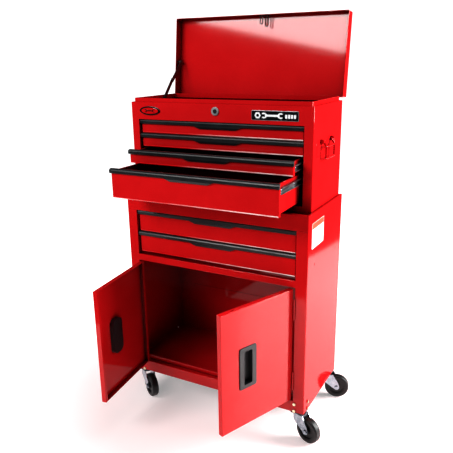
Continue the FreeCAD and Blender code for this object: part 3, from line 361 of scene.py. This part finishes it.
RIGHTWARD, UPWARD, FRONTWARD = Vector((1, 0, 0)), Vector((0, 0, 1)), Vector((0, -1, 0))
print("corner points", len(oblong(0.1, 0.05, 0.01)))

# %% [markdown]
# ## Name plate and badge
# The plate is printed aluminium: a black field inside a bright border. The
# badge is a domed oval with a red centre in a dark ring. The marks on them are
# plain workshop shapes, a hexagon nut and a spanner, drawn for this lesson.

# %% Printed colours
printed_black = dark_skin("printed_black_film", "050506", "0C0D0F", 0.16, 0.26, 2.0, 0.005)
printed_white = dark_skin("printed_white_ink", "E9EDF0", "FBFCFC", 0.3, 0.42, 2.0, 0.005)
badge_red = enamel("badge_red_enamel", "B8060C", "CE1418", 0.08)

chest_low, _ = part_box("chest_shell")
FACE_Y = -0.108
PLATE_AT = Vector((0.1865, FACE_Y, 0.9775))
BADGE_AT = Vector((-0.229, FACE_Y, 0.9795))
print("front of chest shell", round(chest_low.y, 4))


# %% Plate, badge and their marks
def on_front(name, outline, thick, edge, at, finish, lift=0.0):
    mesh = plate_mesh(name, outline, thick, edge, at + FRONTWARD * lift, RIGHTWARD, UPWARD,
                      FRONTWARD)
    return link_piece(name, mesh, finish, "chassis")


def hexagon(across, cx, cy):
    r = across / math.sqrt(3)
    return [(cx + r * math.cos(math.radians(60 * i)), cy + r * math.sin(math.radians(60 * i)))
            for i in range(6)]


def spanner(length, jaw, cx, cy):
    """Open-ended spanner lying along its length, both jaws facing out."""
    half, h, bar = length / 2, jaw / 2, jaw * 0.17
    gap, deep = jaw * 0.22, jaw * 0.55
    end = [(half - jaw * 0.95, bar), (half - jaw * 0.62, h * 0.86), (half - jaw * 0.18, h),
           (half, h * 0.62), (half, gap), (half - deep, gap), (half - deep, -gap),
           (half, -gap), (half, -h * 0.62), (half - jaw * 0.18, -h),
           (half - jaw * 0.62, -h * 0.86), (half - jaw * 0.95, -bar)]
    return [(cx + x, cy + y) for x, y in end] + [(cx - x, cy - y) for x, y in end]


on_front("name_plate_border", oblong(0.1415, 0.0275, 0.0035), 0.0008, 0.0003, PLATE_AT,
         brushed_alloy)
on_front("name_plate_field", oblong(0.1385, 0.0245, 0.0025), 0.0005, 0.0002, PLATE_AT,
         printed_black, 0.0007)
MARK_LIFT = 0.0011
NUT_X, NUT_ACROSS = -0.051, 0.0165
BLOCK_X, BLOCK_PITCH, BLOCK_DROP = 0.0345, 0.0085, 0.0012
block = oblong(0.0062, 0.0105, 0.0016)
marks = [hexagon(NUT_ACROSS, NUT_X, 0), spanner(0.062, NUT_ACROSS, -0.007, 0)]
marks += [[(x + BLOCK_X + BLOCK_PITCH * i, y - BLOCK_DROP) for x, y in block]
          for i in range(4)]
for i, outline in enumerate(marks):
    on_front(f"name_plate_mark_{i + 1}", outline, 0.0003, 0.0001, PLATE_AT, printed_white,
             MARK_LIFT)
on_front("name_plate_nut_bore", oval(0.0085, 0.0085, 24), 0.0002, 0.0001,
         PLATE_AT + RIGHTWARD * NUT_X, printed_black, 0.00145)
on_front("badge_ring", oval(0.075, 0.027), 0.0022, 0.001, BADGE_AT, printed_black)
on_front("badge_centre", oval(0.062, 0.0185), 0.0012, 0.0007, BADGE_AT, badge_red, 0.0016)
on_front("badge_mark", spanner(0.036, 0.0095, 0, 0), 0.0004, 0.0001, BADGE_AT,
         printed_black, 0.0027)
print("plates on the chest front: ", len(marks) + 6, "pieces")

# %% [markdown]
# ## Paper label on the side
# Such cabinets carry a paper label on the right wall. It is made with no words:
# an orange band over rows of plain grey bars. The bars repeat by a rule, so
# Geometry Nodes sets them out: a line of points, one bar on each, with a seeded
# random length. Realize Instances turns them into real faces for the export.

# %% Label sheet and band
LABEL_X = 0.308
LABEL_MID = Vector((LABEL_X, -0.070, 0.649))
LABEL_W, LABEL_H = 0.098, 0.076
BAND_H = 0.019
REARWARD, OUTWARD = Vector((0, 1, 0)), Vector((1, 0, 0))

paper = dark_skin("coated_paper", "E8E4E2", "F6F4F2", 0.35, 0.5, 3.0, 0.01)
band_ink = dark_skin("orange_band_ink", "D8401F", "E8552B", 0.3, 0.42, 2.0, 0.005)
bar_ink = dark_skin("grey_bar_ink", "8E8C8C", "A6A2A1", 0.4, 0.5, 2.0, 0.005)


def on_side(name, width, height, at, lift, finish, corner=0.002):
    mesh = plate_mesh(name, oblong(width, height, corner), 0.0002, 0.00005,
                      at + OUTWARD * lift, REARWARD, UPWARD, OUTWARD)
    return link_piece(name, mesh, finish, "chassis")


on_side("side_label_sheet", LABEL_W, LABEL_H, LABEL_MID, 0.0, paper)
band_mid = LABEL_MID + UPWARD * (LABEL_H - BAND_H) / 2
on_side("side_label_band", LABEL_W - 0.004, BAND_H - 0.002, band_mid, 0.00018, band_ink, 0.001)
print("label from z", round(LABEL_MID.z - LABEL_H / 2, 3))


# %% Geometry Nodes: shared start and finish
def new_tree(name, *inputs):
    """A node group with a geometry in and out and named number inputs."""
    tree = bpy.data.node_groups.new(name, "GeometryNodeTree")
    face = tree.interface
    face.new_socket("Geometry", in_out="INPUT", socket_type="NodeSocketGeometry")
    for title, kind in inputs:
        face.new_socket(title, in_out="INPUT", socket_type="NodeSocket" + kind)
    face.new_socket("Geometry", in_out="OUTPUT", socket_type="NodeSocketGeometry")
    return tree, add(tree, "NodeGroupInput").outputs


def close_tree(tree, instances, finish_socket):
    solid = add(tree, "GeometryNodeRealizeInstances", {"Geometry": instances})
    painted = add(tree, "GeometryNodeSetMaterial", {"Geometry": solid.outputs[0],
                                                    "Material": finish_socket})
    add(tree, "NodeGroupOutput", {"Geometry": painted.outputs[0]})
    print("tree", tree.name)


def grow(name, seed_mesh, tree, values, finish, body):
    """Run the tree on a seed mesh and keep the result as a plain piece."""
    seed = bpy.data.objects.new(name + "_seed", seed_mesh)
    bpy.context.scene.collection.objects.link(seed)
    modifier = seed.modifiers.new("nodes", "NODES")
    modifier.node_group = tree
    sockets = {s.name: s.identifier for s in tree.interface.items_tree
               if s.item_type == "SOCKET" and s.in_out == "INPUT"}
    for title, value in {**values, "Finish": finish}.items():
        modifier[sockets[title]] = value
    shape = bpy.data.meshes.new_from_object(
        seed.evaluated_get(bpy.context.evaluated_depsgraph_get()))
    seed.modifiers.remove(modifier)
    bpy.data.objects.remove(seed)
    shape.name = name
    piece = link_piece(name, shape, finish, body)
    print(name, len(shape.polygons), "faces")
    return piece


def point_cloud(name, places):
    """Seed mesh of loose points; each keeps the way its fastener faces."""
    mesh = bpy.data.meshes.new(name)
    mesh.from_pydata([p for p, _ in places], [], [])
    facing = mesh.attributes.new("facing", "FLOAT_VECTOR", "POINT")
    facing.data.foreach_set("vector", [c for _, d in places for c in d])
    return mesh


# %% Bars on the label
bars, given = new_tree("label_bars", ("Rows", "Int"), ("Pitch", "Float"), ("Longest", "Float"),
                       ("Bar Height", "Float"), ("Seed", "Int"), ("Finish", "Material"))
drop = add(bars, "ShaderNodeCombineXYZ", {"Z": add(
    bars, "ShaderNodeMath", {0: given["Pitch"], 1: -1.0}, operation="MULTIPLY").outputs[0]})
rows = add(bars, "GeometryNodeMeshLine", {"Count": given["Rows"], "Offset": drop.outputs[0]})
bar = add(bars, "GeometryNodeMeshCube", {"Size": (0.00012, 1.0, 1.0)})
share = add(bars, "FunctionNodeRandomValue", {"Min": 0.55, "Max": 1.0, "Seed": given["Seed"]},
            data_type="FLOAT")
length = add(bars, "ShaderNodeMath", {0: given["Longest"], 1: share.outputs["Value"]},
             operation="MULTIPLY")
size = add(bars, "ShaderNodeCombineXYZ", {"X": 1.0, "Y": length.outputs[0],
                                          "Z": given["Bar Height"]})
shift = add(bars, "ShaderNodeCombineXYZ", {"Y": add(
    bars, "ShaderNodeMath", {0: length.outputs[0], 1: 0.5}, operation="MULTIPLY").outputs[0]})
lined = add(bars, "GeometryNodeSetPosition", {"Geometry": rows.outputs[0],
                                              "Offset": shift.outputs[0]})
placed = add(bars, "GeometryNodeInstanceOnPoints", {
    "Points": lined.outputs[0], "Instance": bar.outputs["Mesh"], "Scale": size.outputs[0]})
first = LABEL_MID + Vector((0.00024, -LABEL_W / 2 + 0.009, LABEL_H / 2 - BAND_H - 0.006))
moved = add(bars, "GeometryNodeTransform", {"Geometry": placed.outputs[0],
                                            "Translation": first})
close_tree(bars, moved.outputs[0], given["Finish"])
grow("side_label_bars", bpy.data.meshes.new("label_seed"), bars,
     {"Rows": 7, "Pitch": 0.0072, "Longest": 0.08, "Bar Height": 0.0022, "Seed": 5}, bar_ink,
     "chassis")

# %% [markdown]
# ## Rivets and bolts
# Thin sheet is joined with rivets wherever a leaf or a slide lies against it.
# All of them are the same low dome, so one small tree puts a dome on every seed
# point and turns it to face out of the sheet. Bolts use the same tree with a
# six-sided head on a washer. A dome of a few dozen faces is enough at this size.

# %% Fastener trees
domes, given = new_tree("dome_rivets", ("Radius", "Float"), ("Flatness", "Float"),
                        ("Finish", "Material"))
dome = add(domes, "GeometryNodeMeshUVSphere", {"Segments": 12, "Rings": 6,
                                               "Radius": given["Radius"]})
low_dome = add(domes, "GeometryNodeTransform", {
    "Geometry": dome.outputs["Mesh"],
    "Scale": add(domes, "ShaderNodeCombineXYZ", {"X": 1.0, "Y": 1.0,
                                                 "Z": given["Flatness"]}).outputs[0]})
way = add(domes, "GeometryNodeInputNamedAttribute", {"Name": "facing"},
          data_type="FLOAT_VECTOR")
turn = add(domes, "FunctionNodeAlignRotationToVector", {"Vector": way.outputs[0]}, axis="Z")
set_out = add(domes, "GeometryNodeInstanceOnPoints", {
    "Points": given["Geometry"], "Instance": low_dome.outputs[0],
    "Rotation": turn.outputs[0]})
close_tree(domes, set_out.outputs[0], given["Finish"])

bolts, given = new_tree("washer_bolts", ("Head Radius", "Float"), ("Head Height", "Float"),
                        ("Finish", "Material"))
head = add(bolts, "GeometryNodeMeshCylinder", {"Vertices": 6, "Radius": given["Head Radius"],
                                               "Depth": given["Head Height"]})
wide = add(bolts, "ShaderNodeMath", {0: given["Head Radius"], 1: 1.45}, operation="MULTIPLY")
washer = add(bolts, "GeometryNodeMeshCylinder", {"Vertices": 24, "Radius": wide.outputs[0],
                                                 "Depth": 0.001})
lift = add(bolts, "ShaderNodeCombineXYZ", {"Z": add(
    bolts, "ShaderNodeMath", {0: given["Head Height"], 1: 0.5},
    operation="MULTIPLY").outputs[0]})
raised = add(bolts, "GeometryNodeTransform", {"Geometry": head.outputs["Mesh"],
                                              "Translation": lift.outputs[0]})
pair = add(bolts, "GeometryNodeJoinGeometry")
bolts.links.new(washer.outputs["Mesh"], pair.inputs[0])
bolts.links.new(raised.outputs[0], pair.inputs[0])
way = add(bolts, "GeometryNodeInputNamedAttribute", {"Name": "facing"},
          data_type="FLOAT_VECTOR")
turn = add(bolts, "FunctionNodeAlignRotationToVector", {"Vector": way.outputs[0]}, axis="Z")
set_out = add(bolts, "GeometryNodeInstanceOnPoints", {
    "Points": given["Geometry"], "Instance": pair.outputs[0], "Rotation": turn.outputs[0]})
close_tree(bolts, set_out.outputs[0], given["Finish"])

# %% Hinge, slide and caster fasteners
RIVET = {"Radius": 0.0022, "Flatness": 0.45}

HINGE_RIVETS = 11
HINGE_RIVET_IN, HINGE_RIVET_PITCH, HINGE_RIVET_UP = 0.02, 0.052, 0.008
HINGE_LEAF_FACE_Y = 0.1428

fixed_low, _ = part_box("lid_hinge_fixed")
hinge_row = [(Vector((fixed_low.x + HINGE_RIVET_IN + i * HINGE_RIVET_PITCH,
                      HINGE_LEAF_FACE_Y, fixed_low.z + HINGE_RIVET_UP)), (0, 1, 0))
             for i in range(HINGE_RIVETS)]
grow("lid_hinge_rivets", point_cloud("hinge_seed", hinge_row), domes, RIVET, slide_steel,
     "chassis")

KINGPIN_X, KINGPIN_Y, PLATE_UNDER_Z = 0.286, 0.127, 0.0908
PLATE_HOLE = 0.0150
BOTH = (-1, 1)
under_plates = [(Vector((side * KINGPIN_X + dx * PLATE_HOLE, end * KINGPIN_Y + dy * PLATE_HOLE,
                         PLATE_UNDER_Z)), (0, 0, -1))
                for side in BOTH for end in BOTH for dx in BOTH for dy in BOTH]
grow("caster_plate_bolts", point_cloud("plate_seed", under_plates), bolts,
     {"Head Radius": 0.0042, "Head Height": 0.0026}, fork_zinc, "chassis")

DRAWERS = range(1, 7)
RAIL_FACE_X, SCREW_IN = 0.2617, 0.018
for number in DRAWERS:
    low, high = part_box(f"drawer_{number}_rails")
    mid_z = (low.z + high.z) / 2
    run = high.y - low.y - 2 * SCREW_IN
    screws = [(Vector((s * RAIL_FACE_X, low.y + SCREW_IN + k * run, mid_z)), (s, 0, 0))
              for s in BOTH for k in (0.0, 0.5, 1.0)]
    grow(f"drawer_{number}_rail_screws", point_cloud("rail_seed", screws), domes,
         {"Radius": 0.003, "Flatness": 0.28}, fork_zinc, f"drawer_{number}")

# %% [markdown]
# ## Folds with a painted highlight
# The bottom edge of every drawer front is folded under. A round bead swept along
# a straight curve follows the fold. Its colour fades from enamel red to near
# white towards the right, broken up by noise: this pale line is a painted
# highlight, standing in for lamp light caught on the fold.

# %% Fold bead
fold_highlight_finish, tree, shader, place = start_finish(
    "fold_painted_highlight", IOR=1.5, Coat_Weight=1.0, Coat_Roughness=0.12)
along = add(tree, "ShaderNodeSeparateXYZ", {0: place}).outputs["X"]
# Painted highlight: the pale colour ramps up from x = -0.10 m to 0.16 m along the fold.
HIGHLIGHT_FROM_X, HIGHLIGHT_TO_X = -0.10, 0.16
highlight_ramp = spread(tree, along, 0.0, 1.0, HIGHLIGHT_FROM_X, HIGHLIGHT_TO_X)
highlight_breakup = spread(tree, ripple(tree, place, 30.0, 2.0, (1.0, 0.1, 0.1)), 0.45, 1.0)
painted_highlight = add(tree, "ShaderNodeMath", {0: highlight_ramp, 1: highlight_breakup}, operation="MULTIPLY").outputs[0]
connect(tree, blend_colours(tree, painted_highlight, "D8000A", "FFF0EE"), shader, "Base Color")
connect(tree, spread(tree, painted_highlight, 0.30, 0.16, 0.0, 1.0), shader, "Roughness")

bead, given = new_tree("fold_bead", ("Start", "Vector"), ("End", "Vector"),
                       ("Radius", "Float"), ("Finish", "Material"))
line = add(bead, "GeometryNodeCurvePrimitiveLine", {"Start": given["Start"],
                                                    "End": given["End"]})
parts_of_line = add(bead, "GeometryNodeResampleCurve", {"Curve": line.outputs[0], "Count": 24})
ring = add(bead, "GeometryNodeCurvePrimitiveCircle", {"Resolution": 14,
                                                      "Radius": given["Radius"]})
swept = add(bead, "GeometryNodeCurveToMesh", {"Curve": parts_of_line.outputs[0],
                                              "Profile Curve": ring.outputs[0],
                                              "Fill Caps": True})
close_tree(bead, swept.outputs[0], given["Finish"])
FOLD_R = 0.003
PROUD = 0.0002
END_GAP = 0.0015
for number in DRAWERS:
    low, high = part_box(f"drawer_{number}_box")
    ends = [(x, low.y + FOLD_R, low.z + FOLD_R) for x in (low.x + END_GAP, high.x - END_GAP)]
    grow(f"drawer_{number}_fold", bpy.data.meshes.new("fold_seed"), bead,
         {"Start": ends[0], "End": ends[1], "Radius": FOLD_R + PROUD}, fold_highlight_finish,
         f"drawer_{number}")

# %% [markdown]
# ## Studio
# The chest stands on white paper. Gloss sees the paper low down and the dark
# studio above it, and that edge is what gives enamel its depth. So the paper is
# finite, and its right rear corner is cut back to where its edge should show in
# the side wall. It glows a little more away from the chest, which keeps the
# background white and the soft shadow round the wheels.

# %% Paper floor
PAPER_EDGE = [(-3.4, -1.15), (1.5, -1.15), (1.5, 0.95), (0.873, 1.43), (0.836, 1.63),
              (0.80, 1.9), (0.70, 3.6), (-3.4, 3.6)]
GLOW_FROM, GLOW_TO = 0.45, 1.25
NEAR_GLOW, FAR_GLOW = 0.36, 1.15
floor_mesh = bpy.data.meshes.new("paper_floor")
floor_mesh.from_pydata([(x, y, 0) for x, y in PAPER_EDGE], [],
                       [tuple(range(len(PAPER_EDGE)))])
floor = bpy.data.objects.new("paper_floor", floor_mesh)
bpy.context.scene.collection.objects.link(floor)
# The pale pink base colour is painted light: red light bounced from the enamel onto the paper,
# which shows where the glow is low near the chest.
paper_finish, tree, shader, place = start_finish(
    "white_studio_paper", Base_Color=linear("FBE6E6"), Roughness=0.22,
    Specular_IOR_Level=0.5, Emission_Color=linear("FFFFFF"))
away = add(tree, "ShaderNodeVectorMath", {0: place}, operation="LENGTH").outputs["Value"]
connect(tree, spread(tree, away, NEAR_GLOW, FAR_GLOW, GLOW_FROM, GLOW_TO), shader,
        "Emission Strength")
roughen(tree, shader, ripple(tree, place, 6.0, 2.0), 0.02, 0.2)
floor_mesh.materials.append(paper_finish)
print("paper corners", len(PAPER_EDGE))

# %% [markdown]
# ## World and lamps
# The room itself is dark to gloss and to paint, and only the background behind
# the chest is white. A large softbox at the right rear makes the side walls
# bright and leaves the inside of the doors dark. A tilted one at the front left
# is there to be mirrored: it is the pale band in the gloss of the open lid. A
# weak fill lights the drawer fronts and leaves no highlight on them.

# %% World
ROOM_LIGHT, BACKGROUND_WHITE = 0.05, 1.3
world = bpy.data.worlds.new("studio")
bpy.context.scene.world = world
world.use_nodes = True
wt = world.node_tree
wt.nodes.clear()
seen = add(wt, "ShaderNodeLightPath").outputs["Is Camera Ray"]
dim = add(wt, "ShaderNodeBackground", {"Color": linear("FFFFFF"), "Strength": ROOM_LIGHT})
white = add(wt, "ShaderNodeBackground", {"Color": linear("FFFFFF"), "Strength": BACKGROUND_WHITE})
mixed = add(wt, "ShaderNodeMixShader", {0: seen, 1: dim.outputs[0], 2: white.outputs[0]})
add(wt, "ShaderNodeOutputWorld", {"Surface": mixed.outputs[0]})
print("world", world.name)


# %% Softboxes
def softbox(name, place, aim, width, height, watts, turn=0.0, mirrored=True):
    """Soft lamp at place, facing aim; a lamp that isn't mirrored leaves no highlight."""
    lamp = bpy.data.lights.new(name, "AREA")
    lamp.shape = "RECTANGLE"
    lamp.size, lamp.size_y = width, height
    lamp.energy = watts
    lamp_object = bpy.data.objects.new(name, lamp)
    look = (Vector(aim) - Vector(place)).to_track_quat("-Z", "Y").to_matrix().to_4x4()
    spin = Matrix.Rotation(math.radians(turn), 4, "Z")
    lamp_object.matrix_world = Matrix.Translation(place) @ look @ spin
    lamp_object.visible_camera = False
    lamp_object.visible_glossy = mirrored
    bpy.context.scene.collection.objects.link(lamp_object)
    return lamp_object


softbox("right_key", (2.6, 1.2, 1.5), (0.2, 0.0, 0.6), 1.4, 1.8, 215.0)
BAND_X, BAND_Z, BAND_SLOPE = -1.002, 2.284, -12.2
softbox("lid_band", (BAND_X, -2.2, BAND_Z), (BAND_X, 0.0, BAND_Z), 1.31, 0.9, 84.0, BAND_SLOPE)
softbox("front_fill", (0.1, -2.6, 1.4), (0.0, 0.0, 0.6), 1.2, 1.2, 18.0, mirrored=False)
softbox("top_light", (0.3, 0.2, 3.0), (0.0, 0.0, 0.8), 1.6, 1.2, 26.0)

# %% [markdown]
# ## Last step
# A catalogue white is a plain view transform with no film curve. A gamma under
# one deepens the shadows, as printed pictures do.

# %% Finish
PRINT_GAMMA = 0.82
bpy.context.scene.view_settings.view_transform = "Standard"
bpy.context.scene.view_settings.gamma = PRINT_GAMMA
